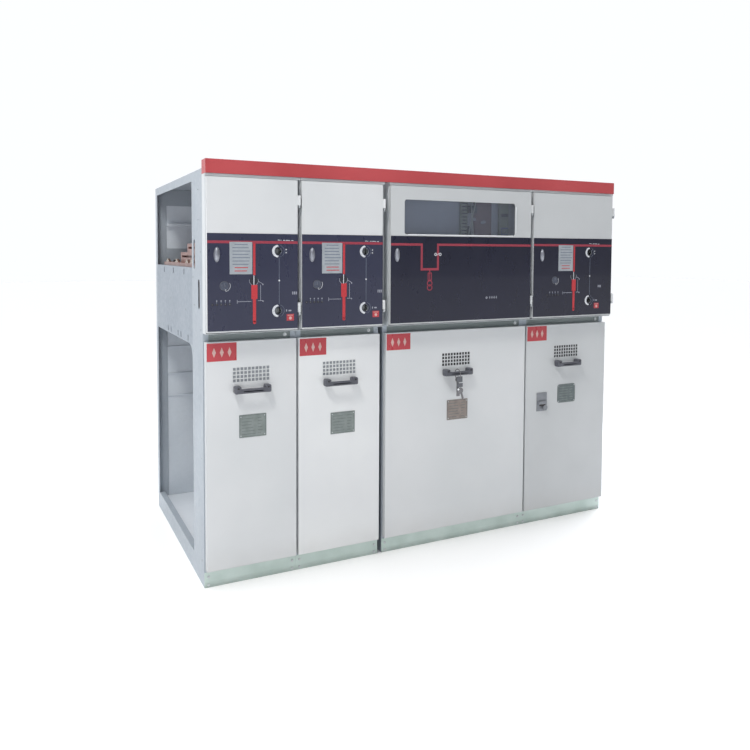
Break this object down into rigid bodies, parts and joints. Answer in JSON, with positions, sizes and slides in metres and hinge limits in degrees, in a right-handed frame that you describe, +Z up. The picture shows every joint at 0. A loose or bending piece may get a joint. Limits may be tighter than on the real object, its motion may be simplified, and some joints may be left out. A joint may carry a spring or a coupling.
{
  "type": "gas insulated switchgear row",
  "caption": "Row of metal-enclosed, gas-insulated switchgear cubicles with swing doors over lift-off doors, a mimic panel on each and open ends for busbars and cables.",
  "frame": {"origin": "on the floor, under the middle of the row's outer box", "axes": "+X along the row to its right end as seen from the front, -Y out of the fronts, +Z up"},
  "size_m": [2.02, 1.0888, 1.645],
  "materials": {
    "frame_steel": "satin",
    "panel_steel": "satin",
    "plinth_steel": "satin",
    "door_white": "satin",
    "door_grey": "satin",
    "box_grey": "satin",
    "header_red": "satin",
    "beam_grey": "matte",
    "mimic_blue": "satin",
    "latch_metal": "satin",
    "shaft_steel": "satin",
    "resin_brown": "gloss",
    "stud_metal": "polished",
    "pane": "gloss",
    "handle_grey": "matte",
    "plate_grey": "satin",
    "key_brass": "satin"
  },
  "bodies": {
    "cubicles": {"side_posts_1": "frame_steel", "side_posts_2": "frame_steel", "side_posts_3": "frame_steel", "side_posts_4": "frame_steel", "post_folds": "frame_steel", "side_rails": "frame_steel", "side_panels": "frame_steel", "roof_sheets": "panel_steel", "floor_plates": "panel_steel", "rear_frames": "panel_steel", "rear_covers": "panel_steel", "cover_strips": "panel_steel", "plinth_strips": "plinth_steel", "crossbeams": "beam_grey", "header": "header_red", "header_top": "header_red", "header_ends": "header_red", "mechanism_box_1": "box_grey", "mechanism_box_2": "box_grey", "mechanism_box_3": "box_grey", "mechanism_box_4": "box_grey", "operating_shafts": "shaft_steel", "switch_bodies": "resin_brown", "switch_supports": "panel_steel", "switch_terminals": "stud_metal", "hinge_pins": "latch_metal"},
    "upper_door_1": {"upper_door_1": "door_white", "door_folds_1": "door_white", "mimic_panel_1": "mimic_blue", "door_latch_1": "latch_metal"},
    "lower_door_1": {"lower_door_1": "door_grey", "door_handle_1": "handle_grey", "inspection_plate_1": "plate_grey"},
    "upper_door_2": {"upper_door_2": "door_white", "door_folds_2": "door_white", "mimic_panel_2": "mimic_blue", "door_latch_2": "latch_metal"},
    "lower_door_2": {"lower_door_2": "door_grey", "door_handle_2": "handle_grey", "inspection_plate_2": "plate_grey"},
    "upper_door_3": {"upper_door_3": "door_white", "door_folds_3": "door_white", "mimic_panel_3": "mimic_blue", "door_latch_3": "latch_metal", "window_pane": "pane"},
    "lower_door_3": {"lower_door_3": "door_grey", "door_handle_3": "handle_grey", "inspection_plate_3": "plate_grey", "key_ring": "key_brass"},
    "upper_door_4": {"upper_door_4": "door_white", "door_folds_4": "door_white", "mimic_panel_4": "mimic_blue", "door_latch_4": "latch_metal"},
    "lower_door_4": {"lower_door_4": "door_grey", "door_handle_4": "handle_grey", "inspection_plate_4": "plate_grey", "paddle_lock": "plate_grey"}
  },
  "joints": [
    {"name": "upper_door_1_swing", "type": "hinge", "parent": "cubicles", "child": "upper_door_1", "pos_m": [-0.643, -0.53115, 1.288], "axis": [0, 0, 1], "range_deg": [0, 105]},
    {"name": "upper_door_2_swing", "type": "hinge", "parent": "cubicles", "child": "upper_door_2", "pos_m": [-0.268, -0.53115, 1.288], "axis": [0, 0, 1], "range_deg": [0, 105]},
    {"name": "upper_door_3_swing", "type": "hinge", "parent": "cubicles", "child": "upper_door_3", "pos_m": [0.502, -0.53115, 1.288], "axis": [0, 0, 1], "range_deg": [0, 105]},
    {"name": "upper_door_4_swing", "type": "hinge", "parent": "cubicles", "child": "upper_door_4", "pos_m": [1.002, -0.53115, 1.288], "axis": [0, 0, 1], "range_deg": [0, 105]},
    {"name": "lower_door_1_lift", "type": "slide", "parent": "cubicles", "child": "lower_door_1", "axis": [0, 0, 1], "range_m": [0, 0.022]},
    {"name": "lower_door_2_lift", "type": "slide", "parent": "cubicles", "child": "lower_door_2", "axis": [0, 0, 1], "range_m": [0, 0.022]},
    {"name": "lower_door_3_lift", "type": "slide", "parent": "cubicles", "child": "lower_door_3", "axis": [0, 0, 1], "range_m": [0, 0.022]},
    {"name": "lower_door_4_lift", "type": "slide", "parent": "cubicles", "child": "lower_door_4", "axis": [0, 0, 1], "range_m": [0, 0.022]}
  ]
}
